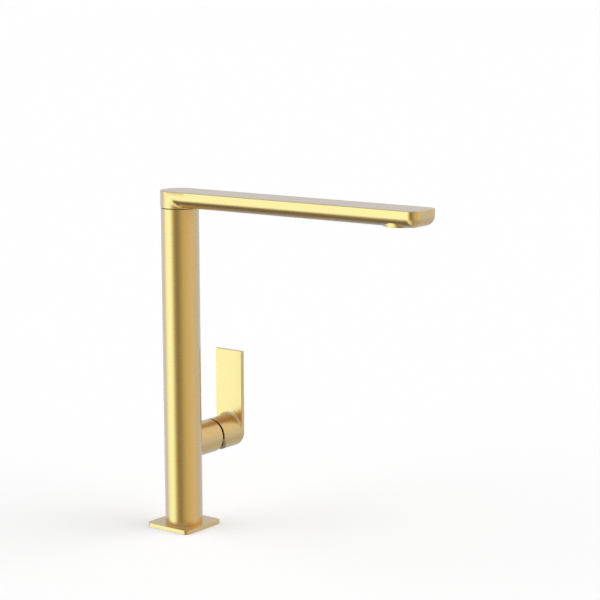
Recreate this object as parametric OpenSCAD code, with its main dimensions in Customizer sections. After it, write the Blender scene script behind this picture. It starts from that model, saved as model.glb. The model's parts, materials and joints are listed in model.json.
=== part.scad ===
// Single-lever mixer tap: round column on a square base plate, flat swivelling spout,
// side valve with an upright paddle lever. Millimetres, +Z up. The origin is on the
// column axis at the deck surface; the spout points along -Y and the valve along +X.

/* [Column] */
// Outside diameter of the column
column_d = 35; // [34:0.5:42]
// Wall of the column tube
column_wall = 2; // [1.5:0.1:2.2]
// Height of the seam between column and spout above the deck
seam_height = 300; // [200:1:420]
// Thickness of the thrust washer that shows as the seam
thrust_washer_t = 0.6; // [0.4:0.1:1.5]
// How far the thrust washer stands back from the column's surface
thrust_washer_inset = 0.5; // [0.2:0.1:1]

/* [Base plate] */
// Side of the square base plate
plate_side = 50; // [48:1:70]
// Thickness of the base plate
plate_t = 4; // [3.5:0.5:8]
// Corner radius of the base plate
plate_corner_r = 5; // [2:0.5:10]
// Thickness of the soft deck gasket, sunk flush into the plate's underside
gasket_t = 1.5; // [1:0.25:2.5]
// Width of the deck gasket's ring
gasket_w = 4.5; // [2:0.5:5]

/* [Spout] */
// Distance from the column axis to the spout's tip
spout_length = 269.5; // [200:0.5:320]
// Width of the spout bar, and diameter of its round head
spout_w = 35.8; // [35.2:0.1:44]
// Thickness of the spout bar
spout_t = 14.8; // [14:0.1:20]
// Radius along the lower edges of the bar, and in plan round the tip's two corners
spout_edge_r = 9; // [6:0.1:10]
// How far the round head reaches below the underside of the bar
head_drop = 0.9; // [0.6:0.1:4]
// Height of the small bevel round the foot of the head
head_bevel = 0.4; // [0.2:0.1:0.6]
// Wall of the hollow bar
spout_wall = 2; // [1.5:0.1:2.2]
// Outside diameter of the water tube inside the bar
water_tube_d = 7.6; // [6:0.2:7.8]
// Wall of the water tube
water_tube_wall = 0.8; // [0.5:0.1:1.2]

/* [Aerator] */
// Distance from the spout's tip back to the aerator axis
outlet_inset = 25.5; // [23.5:0.5:60]
// Diameter of the round boss under the bar that the aerator screws into
boss_d = 32; // [24:0.5:34]
// How far the boss stands below the bar
boss_drop = 0.2; // [0.2:0.1:2]
// Diameter of the aerator's collar
collar_d = 20; // [20:0.5:23]
// How far the collar stands below the boss
collar_drop = 0.8; // [0.5:0.1:2]
// Thread diameter of the aerator housing
aerator_thread_d = 18.5; // [16.5:0.5:19]
// Thread length of the aerator housing
aerator_thread_h = 6; // [5:0.25:6.5]
// Wall of the aerator housing
aerator_wall = 1.2; // [1:0.1:1.6]
// Diameter of one cell of the flow straightener
cell_d = 1.5; // [1:0.1:1.7]

/* [Spout swivel] */
// Diameter of the spout's turning shank
swivel_d = 19.9; // [18:0.1:22]
// Length of the shank below the seam
swivel_length = 30; // [28:1:45]
// Thread diameter of the shank's top end, screwed into the head
swivel_thread_d = 16; // [14:1:17]
// Water bore of the shank
swivel_bore_d = 8; // [6:0.5:9]
// Section diameter of the shank's O-rings
o_ring_d = 1.8; // [1.2:0.1:2.2]
// How far the spout swings to each side of centre
swing_half = 60; // [20:5:75]
// Height of each plastic glide ring
glide_ring_h = 5; // [3:0.5:6]
// Thread diameter of the stop screw at the rear
stop_screw_d = 5; // [4:0.5:6]
// Diameter of the stop screw's point
stop_point_d = 3.6; // [2.6:0.2:3.8]
// Outside diameter of the riser tube inside the column
riser_d = 10; // [8:0.5:12]
// Wall of the riser tube
riser_wall = 1; // [0.6:0.1:1.5]

/* [Valve body] */
// Diameter of the valve branch and of the lever's hub
valve_d = 31.5; // [31.5:0.1:34]
// Height of the valve axis above the deck
valve_height = 78.5; // [60:0.5:110]
// Distance from the column axis to the end of the valve branch
valve_reach = 39.5; // [38.5:0.5:55]
// Diameter of the cartridge bore
cartridge_bore_d = 26; // [26:0.1:27.6]
// Wall of the valve neck that passes through the column
neck_wall = 1.4; // [1:0.1:1.5]
// How far the water block reaches behind the column axis
block_back = 9; // [7:0.5:11]
// Tapping diameter of the two M10x1 hose ports
hose_port_d = 9; // [8:0.1:9.4]
// Depth of the hose ports
hose_port_depth = 9; // [6:0.5:9.5]
// Distance between the two hose ports
hose_port_pitch = 12; // [11:0.1:12.4]
// Bore of the small water channels
channel_d = 4.5; // [3:0.1:4.6]

/* [Cartridge] */
// Thickness of the cartridge's base
cartridge_base_t = 4.5; // [3:0.1:5]
// Thickness of each ceramic disc
disc_t = 3.5; // [2.5:0.1:4]
// Diameter of the moving disc
moving_disc_d = 16.4; // [15:0.1:17]
// Wall of the cartridge's cup
cup_wall = 1.4; // [1:0.1:1.8]
// Thickness of the slide that drives the moving disc
coupler_t = 4.2; // [4:0.1:5]
// Length of the turning carrier
carrier_t = 8.2; // [7.8:0.1:9]
// Thickness of the cup's front lip
cup_lip_t = 1.6; // [1:0.1:2]
// Thickness of the cartridge nut
nut_t = 2.6; // [2:0.1:3]
// Key size across the flats of the cartridge nut
nut_key = 17; // [17:0.1:19]
// Thickness of the trim ring over the nut
trim_ring_t = 0.7; // [0.5:0.1:1]
// Diameter of the spindle
spindle_d = 7.2; // [6.5:0.1:7.4]
// Diameter of the spindle's inner ball
spindle_ball_d = 4.4; // [4:0.1:4.6]
// Diameter of the spindle's pivot pin
pivot_pin_d = 2.5; // [2:0.1:3]
// How far the lever lifts outwards to open fully
lift_angle = 25; // [15:1:25]

/* [Lever] */
// Gap between the valve branch and the lever's hub
lever_gap = 2.5; // [2.4:0.1:4]
// Distance from the column axis to the lever's outer face
lever_reach = 71.5; // [68:0.5:84]
// Wall of the hollow hub
hub_wall = 2.6; // [2:0.1:3.4]
// Thickness of the hub's solid outer end
hub_end_t = 7.5; // [5:0.5:9]
// Angle of the hub's lower relief, from upright
relief_angle = 37; // [32:1:42]
// How far below the valve axis the relief starts
relief_start = 2.5; // [1:0.1:2.5]
// Height of the paddle's top edge above the deck
paddle_top = 157; // [115:1:190]
// Thickness of the paddle
paddle_t = 4; // [3:0.25:6]
// Wall round the spindle's socket in the hub
socket_wall = 2.5; // [2:0.1:3.5]
// Depth of the spindle's socket
socket_depth = 13.5; // [11:0.5:15]
// Thread diameter of the lever's set screw
set_screw_d = 5; // [4:0.5:5.5]
// Diameter of the plug that hides the set screw
plug_d = 6; // [5.6:0.2:7]

/* [Deck fixing] */
// Thread diameter of the hollow fixing shank
fixing_d = 32; // [31.6:0.1:34]
// Bore of the fixing shank, for two hoses
fixing_bore_d = 26; // [24:0.5:27]
// Length of the fixing shank below the deck
fixing_length = 52; // [50:1:80]
// How far the fixing shank's spigot reaches up into the column
spigot_h = 14; // [8:1:22]
// Thickness of the worktop that is clamped
deck_t = 30; // [10:1:32]
// Outside diameter of the washers below the worktop
washer_d = 50; // [46:1:58]
// Thickness of the rubber washer
rubber_washer_t = 3; // [2:0.5:4]
// Thickness of the steel washer
steel_washer_t = 2; // [1.5:0.5:3]
// Width across the flats of the ring nut
ring_nut_key = 41; // [39:0.5:46]
// Height of the ring nut
ring_nut_h = 9; // [6:1:10]

/* [Hidden] */
$fn = 96;

// Clearances
cut = 1;              // how far a cutter passes beyond the face it opens
joint_gap = 0.05;     // between fixed pieces that are brazed, screwed or pressed together
slip = 0.05;          // between a shaft and the ring it turns in
film = 0.05;          // water film between the ceramic discs
free_gap = 0.3;       // between pieces that move past each other

// Column
column_r = column_d / 2;
column_bore_r = column_r - column_wall;
column_top = seam_height - thrust_washer_t / 2;
head_bottom = seam_height + thrust_washer_t / 2;

// Spout
head_r = spout_w / 2;
bar_bottom = head_bottom + head_drop;
spout_top = bar_bottom + spout_t;
cavity_bottom = bar_bottom + spout_wall;
cavity_top = spout_top - spout_wall - 0.8;
cavity_start = head_r;
cavity_end = spout_length - spout_edge_r - spout_wall;
cavity_w = spout_w - 2 * spout_wall;
cavity_edge_r = spout_edge_r - spout_wall;
water_tube_r = water_tube_d / 2;
water_tube_z = cavity_top - water_tube_r - free_gap;
swivel_r = swivel_d / 2;
swivel_thread_r = swivel_thread_d / 2;
swivel_thread_top = water_tube_z - water_tube_r;
swivel_bottom = seam_height - swivel_length;
chamber_top = cavity_top - free_gap;
o_ring_groove = o_ring_d;
ring_fit_r = swivel_r + slip;
socket_bore_r = ring_fit_r + 0.15;
socket_floor = swivel_bottom - free_gap;
socket_base_t = 8;
socket_bottom = socket_floor - socket_base_t;
glide_ring_t = 2;
stop_height = seam_height - glide_ring_h - 7;
stop_point_r = stop_point_d / 2;
stop_groove_r = swivel_r - 2;
stop_groove_h = stop_point_d + 2 * free_gap;
stop_groove_half = swing_half + asin((stop_point_r + free_gap) / stop_groove_r);
o_ring_heights = [swivel_bottom + glide_ring_h + 3, stop_height - 5];

// Aerator
outlet_reach = spout_length - outlet_inset;
boss_r = boss_d / 2;
boss_bottom = bar_bottom - boss_drop;
collar_r = collar_d / 2;
collar_bottom = boss_bottom - collar_drop;
aerator_thread_r = aerator_thread_d / 2;
aerator_top = bar_bottom + aerator_thread_h;
aerator_bore_r = aerator_thread_r - aerator_wall;
aerator_lip_r = aerator_bore_r - 1.5;
aerator_lip_t = 1.2;
aerator_seal_t = 1;
screen_t = 0.3;
straightener_bottom = collar_bottom + 1;
straightener_top = aerator_top - aerator_lip_t - 2 * screen_t - 0.6;
seat_wall = 2;
seat_r = aerator_thread_r + seat_wall;
// The seat stands clear of the cavity's two round lower edges
seat_overhang = max(0, seat_r - cavity_w / 2 + cavity_edge_r);
seat_bottom = cavity_bottom + cavity_edge_r - sqrt(pow(cavity_edge_r, 2) - pow(seat_overhang, 2)) + joint_gap;
tail_past_thread = 8.75;
seat_tail = aerator_thread_r + tail_past_thread;
seat_tail_w = water_tube_d + 2 * seat_wall;
water_tube_insert = 8;
water_tube_start = swivel_thread_r;
water_tube_end = outlet_reach - seat_tail + water_tube_insert;

// Valve
valve_r = valve_d / 2;
cartridge_bore_r = cartridge_bore_d / 2;
neck_r = cartridge_bore_r + neck_wall;
trim_x = valve_reach - 0.3 - trim_ring_t;
nut_x = trim_x - nut_t;
cup_lip_x = nut_x - cup_lip_t;
carrier_x = cup_lip_x - free_gap - carrier_t;
coupler_x = carrier_x - free_gap - coupler_t;
moving_disc_x = coupler_x - film - disc_t;
fixed_disc_x = moving_disc_x - film - disc_t;
floor_x = fixed_disc_x - cartridge_base_t;
pivot_x = carrier_x + 5.2;
ball_x = coupler_x + spindle_ball_d / 2 + free_gap;
spindle_arm = pivot_x - ball_x;
slide_travel = spindle_arm * lift_angle * PI / 180;
disc_offset = slide_travel / 2;
port_top_z = -0.5;
port_face_z = port_top_z - hose_port_depth;
inlet_z = -3;
inlet_y = 5.2;
outlet_z = 6;
riser_r = riser_d / 2;
riser_start = valve_height + outlet_z + channel_d / 2 + free_gap;
riser_top = socket_bottom + socket_base_t - 2;
channel_r = channel_d / 2;
water_ports = [[-inlet_y, inlet_z], [inlet_y, inlet_z], [0, outlet_z]];

// Cartridge
cup_r = cartridge_bore_r - joint_gap;
cup_bore_r = cup_r - cup_wall;
fixed_disc_r = cup_bore_r - joint_gap;
moving_disc_r = moving_disc_d / 2;
carrier_r = cup_bore_r - free_gap;
carrier_slot_y = spindle_d / 2 + 0.4;
carrier_slot_z = 7.6;
coupler_flat = 6.4;
cup_lip_r = 9;
nut_r = cartridge_bore_r - joint_gap;
trim_bore_r = 8.3;
seal_r = 3.6;
seal_wall = 1.2;
seal_t = 1.9;
spindle_r = spindle_d / 2;
ball_r = spindle_ball_d / 2;
ball_socket_r = ball_r + free_gap + 0.15;
spindle_neck_r = 1.2;
pivot_pin_r = pivot_pin_d / 2;

// Lever
hub_start = valve_reach + lever_gap;
hub_floor = lever_reach - hub_end_t;
hub_bore_r = valve_r - hub_wall;
paddle_x = lever_reach - paddle_t;
socket_r = spindle_r + joint_gap;
socket_outer_r = socket_r + socket_wall;
socket_x = hub_floor - socket_depth;
spindle_end = hub_floor - 1;
set_screw_x = socket_x + socket_depth / 2 + 1;
spindle_flat = spindle_r - 0.6;
set_screw_top = -spindle_flat - joint_gap;
set_screw_length = 5.5;
set_screw_key = 2.5;
plug_t = 2;

// Deck fixing
fixing_r = fixing_d / 2;
fixing_bore_r = fixing_bore_d / 2;
spigot_r = column_bore_r - joint_gap;
plate_hole_r = fixing_r + free_gap;
gasket_hole_r = plate_hole_r + 0.4;
gasket_r = gasket_hole_r + gasket_w;
rubber_washer_z = -deck_t - rubber_washer_t;
steel_washer_z = rubber_washer_z - steel_washer_t;
ring_nut_z = steel_washer_z - ring_nut_h;

// Finishes
gold = "#C9A24F";
brass = "#B5934C";
steel = "#B8BCC0";
rubber = "#2B2B2B";
black_plastic = "#3A3A3C";
white_plastic = "#E9E7E0";
ceramic = "#F2F0EA";

// ---- Helpers ----

// Round bar along +X on the valve axis, from x0 to x1
module valve_bar(r, x0, x1) {
    translate([x0, 0, valve_height])
        rotate([0, 90, 0])
            cylinder(r = r, h = x1 - x0);
}

// Round bar along +X beside the valve axis, y and z being measured from that axis
module offset_bar(r, x0, x1, y, z) {
    translate([x0, y, valve_height + z])
        rotate([0, 90, 0])
            cylinder(r = r, h = x1 - x0);
}

// Block centred on the valve axis, from x0 to x1
module valve_block(x0, x1, y_size, z_size) {
    translate([x0, -y_size / 2, valve_height - z_size / 2])
        cube([x1 - x0, y_size, z_size]);
}

// Flat ring on the column axis
module ring(outer_r, inner_r, z0, h) {
    translate([0, 0, z0])
        difference() {
            cylinder(r = outer_r, h = h);
            translate([0, 0, -cut])
                cylinder(r = inner_r, h = h + 2 * cut);
        }
}

// Flat ring on the aerator axis
module outlet_ring(outer_r, inner_r, z0, h) {
    translate([0, -outlet_reach, 0])
        ring(outer_r, inner_r, z0, h);
}

// Square with rounded corners, as a plan
module rounded_square(side, r) {
    span = side - 2 * r;
    square([side, span], center = true);
    square([span, side], center = true);
    for (x = [-1, 1], y = [-1, 1])
        translate([x * span / 2, y * span / 2])
            circle(r = r);
}

// Section of the bar: flat top, two round lower edges, underside on the X axis
module bar_section(w, t, r) {
    translate([-w / 2, r])
        square([w, t - r]);
    translate([-w / 2 + r, 0])
        square([w - 2 * r, r]);
    intersection() {
        for (side = [-1, 1])
            translate([side * (w / 2 - r), r])
                circle(r = r);
        translate([-w / 2, 0])
            square([w, r]);
    }
}

// Straight bar along -Y from y0 to y1, with round lower edges at the sides
module bar(w, t, r, y0, y1, z0) {
    translate([0, -y0, z0])
        rotate([90, 0, 0])
            linear_extrude(y1 - y0)
                bar_section(w, t, r);
}

// Far end of the bar, r long: its lower edge and its two corners are as round as the sides
module bar_tip(w, t, r, y1, z0) {
    translate([w / 2 - r, -y1 + r, z0])
        rotate([90, 0, -90])
            linear_extrude(w - 2 * r)
                tip_section(t, r);
    for (side = [-1, 1])
        translate([side * (w / 2 - r), -y1 + r, z0])
            rotate_extrude()
                tip_section(t, r);
}

// Side view of the bar's far end, which is also what turns into its two corners
module tip_section(t, r) {
    translate([0, r])
        square([r, t - r]);
    intersection() {
        translate([0, r])
            circle(r = r);
        square(r);
    }
}

// ---- Base and column ----

module base_plate() {
    color(gold)
        difference() {
            linear_extrude(plate_t)
                rounded_square(plate_side, plate_corner_r);
            translate([0, 0, -cut])
                cylinder(r = plate_hole_r, h = plate_t + 2 * cut);
            translate([0, 0, -cut])
                cylinder(r = gasket_r + joint_gap, h = gasket_t + cut);
        }
}

module deck_gasket() {
    color(rubber)
        ring(gasket_r, gasket_hole_r, 0, gasket_t);
}

module column() {
    color(gold)
        difference() {
            translate([0, 0, plate_t])
                cylinder(r = column_r, h = column_top - plate_t);
            translate([0, 0, plate_t - cut])
                cylinder(r = column_bore_r, h = column_top - plate_t + 2 * cut);
            valve_bar(neck_r + joint_gap, 0, column_r + cut);
            translate([0, 0, stop_height])
                rotate([-90, 0, 0])
                    cylinder(d = stop_screw_d, h = column_r + cut);
        }
}

module valve_body() {
    color(gold)
        difference() {
            union() {
                difference() {
                    valve_bar(valve_r, 0, valve_reach);
                    translate([0, 0, valve_height - 2 * valve_r])
                        cylinder(r = column_r + joint_gap, h = 4 * valve_r);
                }
                valve_bar(neck_r, 0, column_r + 2);
                intersection() {
                    valve_bar(neck_r, -block_back, cut);
                    translate([0, 0, valve_height - 2 * valve_r])
                        cylinder(r = column_bore_r - free_gap, h = 4 * valve_r);
                }
            }
            valve_bar(cartridge_bore_r, floor_x, valve_reach + cut);
            for (port = water_ports)
                offset_bar(channel_r, 0, floor_x + cut, port[0], port[1]);
            hose_ports();
            outlet_port();
        }
}

// Flat underside of the water block with its two hose ports
module hose_ports() {
    flat_x = sqrt(pow(column_bore_r, 2) - pow(neck_r, 2) + pow(port_face_z, 2)) - 2;
    translate([-2 * block_back, -neck_r - cut, valve_height + port_face_z - neck_r])
        cube([2 * block_back + flat_x, 2 * (neck_r + cut), neck_r]);
    for (side = [-1, 1])
        translate([0, side * hose_port_pitch / 2, valve_height + port_face_z - cut])
            cylinder(d = hose_port_d, h = hose_port_depth + cut);
}

// Upright outlet of the water block, which takes the riser tube
module outlet_port() {
    translate([0, 0, valve_height + outlet_z])
        cylinder(r = riser_r - riser_wall, h = neck_r);
    translate([0, 0, riser_start])
        cylinder(r = riser_r + joint_gap, h = neck_r);
}

module riser_tube() {
    color(brass)
        ring(riser_r, riser_r - riser_wall, riser_start, riser_top - riser_start);
}

// ---- Deck fixing ----

module fixing_shank() {
    color(brass)
        difference() {
            union() {
                translate([0, 0, -fixing_length])
                    cylinder(r = fixing_r, h = fixing_length + plate_t);
                translate([0, 0, plate_t])
                    cylinder(r = spigot_r, h = spigot_h);
            }
            translate([0, 0, -fixing_length - cut])
                cylinder(r = fixing_bore_r, h = fixing_length + plate_t + spigot_h + 2 * cut);
        }
}

module rubber_washer() {
    color(rubber)
        ring(washer_d / 2, fixing_r + free_gap, rubber_washer_z, rubber_washer_t);
}

module steel_washer() {
    color(steel)
        ring(washer_d / 2, fixing_r + free_gap, steel_washer_z, steel_washer_t);
}

module ring_nut() {
    color(brass)
        translate([0, 0, ring_nut_z])
            difference() {
                cylinder(r = ring_nut_key / 2 / cos(30), h = ring_nut_h, $fn = 6);
                translate([0, 0, -cut])
                    cylinder(r = fixing_r + joint_gap, h = ring_nut_h + 2 * cut);
            }
}

// ---- Cartridge ----

module cartridge_base() {
    color(white_plastic)
        difference() {
            valve_bar(cup_r, floor_x, fixed_disc_x);
            for (port = water_ports) {
                offset_bar(channel_r, floor_x - cut, fixed_disc_x + cut, port[0], port[1]);
                offset_bar(seal_r + joint_gap, floor_x - cut, floor_x + seal_t, port[0], port[1]);
            }
        }
}

module cartridge_seals() {
    color(rubber)
        for (port = water_ports)
            difference() {
                offset_bar(seal_r, floor_x, floor_x + seal_t, port[0], port[1]);
                offset_bar(seal_r - seal_wall, floor_x - cut, floor_x + seal_t + cut, port[0], port[1]);
            }
}

module fixed_disc() {
    color(ceramic)
        difference() {
            valve_bar(fixed_disc_r, fixed_disc_x, fixed_disc_x + disc_t);
            for (port = water_ports)
                offset_bar(channel_r, fixed_disc_x - cut, fixed_disc_x + disc_t + cut, port[0], port[1]);
        }
}

module cartridge_cup() {
    color(white_plastic)
        difference() {
            valve_bar(cup_r, fixed_disc_x, nut_x);
            valve_bar(cup_bore_r, fixed_disc_x - cut, cup_lip_x);
            valve_bar(cup_lip_r, cup_lip_x - cut, nut_x + cut);
        }
}

module cartridge_nut() {
    color(brass)
        difference() {
            valve_bar(nut_r, nut_x, trim_x);
            translate([nut_x - cut, 0, valve_height])
                rotate([0, 90, 0])
                    cylinder(r = nut_key / 2 / cos(30), h = nut_t + 2 * cut, $fn = 6);
        }
}

module trim_ring() {
    color(gold)
        difference() {
            valve_bar(nut_r, trim_x, trim_x + trim_ring_t);
            valve_bar(trim_bore_r, trim_x - cut, trim_x + trim_ring_t + cut);
        }
}

module spindle_carrier() {
    color(black_plastic)
        difference() {
            union() {
                valve_bar(carrier_r, carrier_x, carrier_x + carrier_t);
                carrier_legs();
            }
            valve_block(carrier_x - cut, carrier_x + carrier_t + cut, 2 * carrier_slot_y, 2 * carrier_slot_z);
            pivot_bore(pivot_pin_r + joint_gap, carrier_r + cut);
        }
}

// Two legs that straddle the flats of the disc slide and turn it
module carrier_legs() {
    leg_start = moving_disc_x + disc_t + film + free_gap;
    leg_y = coupler_flat + free_gap;
    difference() {
        valve_bar(carrier_r, leg_start, carrier_x + cut);
        valve_block(leg_start - cut, carrier_x + 2 * cut, 2 * leg_y, 4 * carrier_r);
    }
}

// Bore or pin across the valve axis at the spindle's pivot
module pivot_bore(r, half_length) {
    translate([pivot_x, -half_length, valve_height])
        rotate([-90, 0, 0])
            cylinder(r = r, h = 2 * half_length);
}

module spindle_pin() {
    color(steel)
        pivot_bore(pivot_pin_r, carrier_r - 0.8);
}

module disc_slide() {
    color(black_plastic)
        difference() {
            intersection() {
                offset_bar(moving_disc_r, coupler_x, coupler_x + coupler_t, 0, -disc_offset);
                valve_block(coupler_x - cut, coupler_x + coupler_t + cut,
                            2 * coupler_flat, 4 * moving_disc_r);
            }
            valve_bar(ball_socket_r, coupler_x - cut, coupler_x + coupler_t + cut);
        }
}

module moving_disc() {
    pocket_depth = disc_t * 0.55;
    color(ceramic)
        difference() {
            offset_bar(moving_disc_r, moving_disc_x, moving_disc_x + disc_t, 0, -disc_offset);
            for (y = [-2, 0, 2])
                offset_bar(channel_r, moving_disc_x - cut, moving_disc_x + pocket_depth, y, -disc_offset);
        }
}

// ---- Lever ----

module spindle() {
    color(brass)
        difference() {
            union() {
                valve_bar(spindle_r, pivot_x - spindle_arm / 2 + 0.5, spindle_end);
                valve_bar(spindle_neck_r, ball_x, pivot_x);
                translate([ball_x, 0, valve_height])
                    sphere(r = ball_r);
            }
            pivot_bore(pivot_pin_r + slip, spindle_r + cut);
            translate([socket_x + 1, -spindle_r - cut, valve_height - 2 * spindle_r - spindle_flat])
                cube([socket_depth, 2 * (spindle_r + cut), 2 * spindle_r]);
        }
}

module lever() {
    color(gold)
        difference() {
            union() {
                valve_bar(valve_r, hub_start, paddle_x + 1);
                translate([paddle_x, 0, valve_height])
                    rotate([90, 0, 90])
                        linear_extrude(paddle_t)
                            paddle_outline();
            }
            hub_hollow();
            hub_relief();
            set_screw_bore(set_screw_d / 2, socket_outer_r + cut);
            set_screw_bore(plug_d / 2, valve_r + cut, hub_bore_r - cut);
        }
}

// Outline of the lever's end: a round hub with the paddle rising from it
module paddle_outline() {
    circle(r = valve_r);
    translate([-valve_r, 0])
        square([valve_d, paddle_top - valve_height]);
}

// Space inside the hub, round the socket that takes the spindle
module hub_hollow() {
    difference() {
        valve_bar(hub_bore_r, hub_start - cut, hub_floor);
        valve_bar(socket_outer_r, socket_x, hub_floor + cut);
    }
    valve_bar(socket_r, socket_x - cut, hub_floor - 0.5);
}

// Sloping cut that lets the bottom of the hub swing in towards the valve branch
module hub_relief() {
    translate([hub_start, -valve_r - cut, valve_height - relief_start])
        rotate([0, -relief_angle, 0])
            translate([-4 * valve_r, 0, -4 * valve_r])
                cube([4 * valve_r, 2 * (valve_r + cut), 4 * valve_r]);
}

// Bore from below the hub up towards the spindle, between two depths under the axis
module set_screw_bore(r, depth, start = 0) {
    translate([set_screw_x, 0, valve_height - depth])
        cylinder(r = r, h = depth - start);
}

module lever_set_screw() {
    top_z = valve_height + set_screw_top;
    color(steel)
        difference() {
            translate([set_screw_x, 0, top_z - set_screw_length])
                cylinder(r = set_screw_d / 2 - joint_gap, h = set_screw_length);
            translate([set_screw_x, 0, top_z - set_screw_length - cut])
                cylinder(r = set_screw_key / 2 / cos(30), h = 2.5 + cut, $fn = 6);
        }
}

module screw_plug() {
    color(gold)
        intersection() {
            translate([set_screw_x, 0, valve_height - valve_r - cut])
                cylinder(r = plug_d / 2 - joint_gap, h = plug_t + cut);
            valve_bar(valve_r, hub_start, lever_reach);
        }
}

// ---- Spout swivel ----

module swivel_socket() {
    color(brass)
        difference() {
            translate([0, 0, socket_bottom])
                cylinder(r = column_bore_r - joint_gap, h = column_top - socket_bottom);
            translate([0, 0, socket_floor])
                cylinder(r = socket_bore_r, h = column_top - socket_floor + cut);
            translate([0, 0, socket_bottom - cut])
                cylinder(r = riser_r + joint_gap, h = riser_top - socket_bottom + cut);
            translate([0, 0, socket_bottom])
                cylinder(r = riser_r - riser_wall, h = socket_base_t + cut);
            for (z = glide_ring_heights())
                translate([0, 0, z])
                    cylinder(r = ring_fit_r + glide_ring_t + joint_gap, h = glide_ring_h + joint_gap);
            translate([0, 0, stop_height])
                rotate([-90, 0, 0])
                    cylinder(d = stop_screw_d, h = column_r);
        }
}

// Bottom of each glide ring: one at the foot of the shank, one under the seam
function glide_ring_heights() = [socket_floor + 0.5, column_top - glide_ring_h];

module glide_rings() {
    color(white_plastic)
        for (z = glide_ring_heights())
            ring(ring_fit_r + glide_ring_t, ring_fit_r, z, glide_ring_h);
}

module thrust_washer() {
    color(rubber)
        ring(column_r - thrust_washer_inset, socket_bore_r + 2.5, column_top, thrust_washer_t);
}

module spout_stop_screw() {
    thread_start = socket_bore_r + 0.4;
    thread_end = column_r - 0.4;
    color(steel)
        translate([0, 0, stop_height])
            rotate([-90, 0, 0])
                difference() {
                    union() {
                        translate([0, 0, thread_start])
                            cylinder(r = stop_screw_d / 2 - joint_gap, h = thread_end - thread_start);
                        translate([0, 0, stop_groove_r + free_gap])
                            cylinder(r = stop_point_r, h = thread_end - stop_groove_r - free_gap - 3);
                    }
                    translate([0, 0, thread_end - 2])
                        cylinder(r = set_screw_key / 2 / cos(30), h = 2 + cut, $fn = 6);
                }
}

// ---- Spout ----

module spout_shell() {
    color(gold)
        difference() {
            union() {
                bar(spout_w, spout_t, spout_edge_r, 0, spout_length - spout_edge_r, bar_bottom);
                bar_tip(spout_w, spout_t, spout_edge_r, spout_length, bar_bottom);
                translate([0, -outlet_reach, boss_bottom])
                    cylinder(r = boss_r, h = boss_drop + spout_edge_r);
                translate([0, 0, head_bottom + head_bevel])
                    cylinder(r = head_r, h = spout_top - head_bottom - head_bevel);
                translate([0, 0, head_bottom])
                    cylinder(r1 = head_r - head_bevel, r2 = head_r, h = head_bevel);
            }
            bar(cavity_w, cavity_top - cavity_bottom, cavity_edge_r, cavity_start, cavity_end, cavity_bottom);
            translate([0, 0, head_bottom - cut])
                cylinder(r = swivel_thread_r + joint_gap, h = chamber_top - head_bottom + cut);
            translate([0, 0, water_tube_z])
                rotate([90, 0, 0])
                    cylinder(r = water_tube_r + joint_gap, h = cavity_start + cut);
            translate([0, -outlet_reach, boss_bottom - cut])
                cylinder(r = aerator_thread_r + joint_gap, h = boss_drop + spout_wall + 2 * cut);
        }
}

module spout_shank() {
    color(brass)
        difference() {
            union() {
                translate([0, 0, swivel_bottom])
                    cylinder(r = swivel_r, h = head_bottom - swivel_bottom);
                translate([0, 0, head_bottom - cut])
                    cylinder(r = swivel_thread_r, h = swivel_thread_top - head_bottom + cut);
            }
            translate([0, 0, swivel_bottom - cut])
                cylinder(d = swivel_bore_d, h = spout_top);
            for (z = o_ring_heights)
                ring(swivel_r + cut, swivel_r - o_ring_groove, z - o_ring_d / 2 - 0.1, o_ring_d + 0.2);
            rotate([0, 0, 90 - stop_groove_half])
                rotate_extrude(angle = 2 * stop_groove_half)
                    translate([stop_groove_r, stop_height - stop_groove_h / 2])
                        square([swivel_r - stop_groove_r + cut, stop_groove_h]);
        }
}

module shank_o_rings() {
    color(rubber)
        for (z = o_ring_heights)
            translate([0, 0, z])
                rotate_extrude()
                    translate([swivel_r - o_ring_groove + joint_gap + o_ring_d / 2, 0])
                        circle(d = o_ring_d);
}

module water_tube() {
    color(white_plastic)
        translate([0, -water_tube_start, water_tube_z])
            rotate([90, 0, 0])
                difference() {
                    cylinder(r = water_tube_r, h = water_tube_end - water_tube_start);
                    translate([0, 0, -cut])
                        cylinder(r = water_tube_r - water_tube_wall,
                                 h = water_tube_end - water_tube_start + 2 * cut);
                }
}

module outlet_seat() {
    seat_h = cavity_top - joint_gap - seat_bottom;
    color(brass)
        difference() {
            translate([0, -outlet_reach, seat_bottom]) {
                cylinder(r = seat_r, h = seat_h);
                translate([-seat_tail_w / 2, 0, 0])
                    cube([seat_tail_w, seat_tail, seat_h]);
            }
            translate([0, -outlet_reach, cavity_bottom - cut])
                cylinder(r = aerator_thread_r + joint_gap,
                         h = aerator_top + aerator_seal_t - cavity_bottom + cut);
            translate([0, -outlet_reach, aerator_top])
                cylinder(r = aerator_lip_r, h = cavity_top - aerator_top - 1.5);
            translate([0, -outlet_reach, water_tube_z])
                rotate([-90, 0, 0])
                    cylinder(r = water_tube_r - water_tube_wall, h = seat_tail);
            translate([0, -water_tube_end, water_tube_z])
                rotate([-90, 0, 0])
                    cylinder(r = water_tube_r + joint_gap, h = seat_tail);
        }
}

module aerator_housing() {
    color(gold)
        difference() {
            translate([0, -outlet_reach, 0]) {
                translate([0, 0, collar_bottom])
                    cylinder(r = collar_r, h = collar_drop);
                translate([0, 0, boss_bottom - cut])
                    cylinder(r = aerator_thread_r, h = aerator_top - boss_bottom + cut);
            }
            translate([0, -outlet_reach, collar_bottom - cut])
                cylinder(r = aerator_bore_r, h = aerator_top - aerator_lip_t - collar_bottom + cut);
            translate([0, -outlet_reach, collar_bottom])
                cylinder(r = aerator_lip_r, h = aerator_top);
        }
}

module aerator_seal() {
    color(rubber)
        outlet_ring(aerator_thread_r - joint_gap, aerator_lip_r, aerator_top, aerator_seal_t);
}

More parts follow.
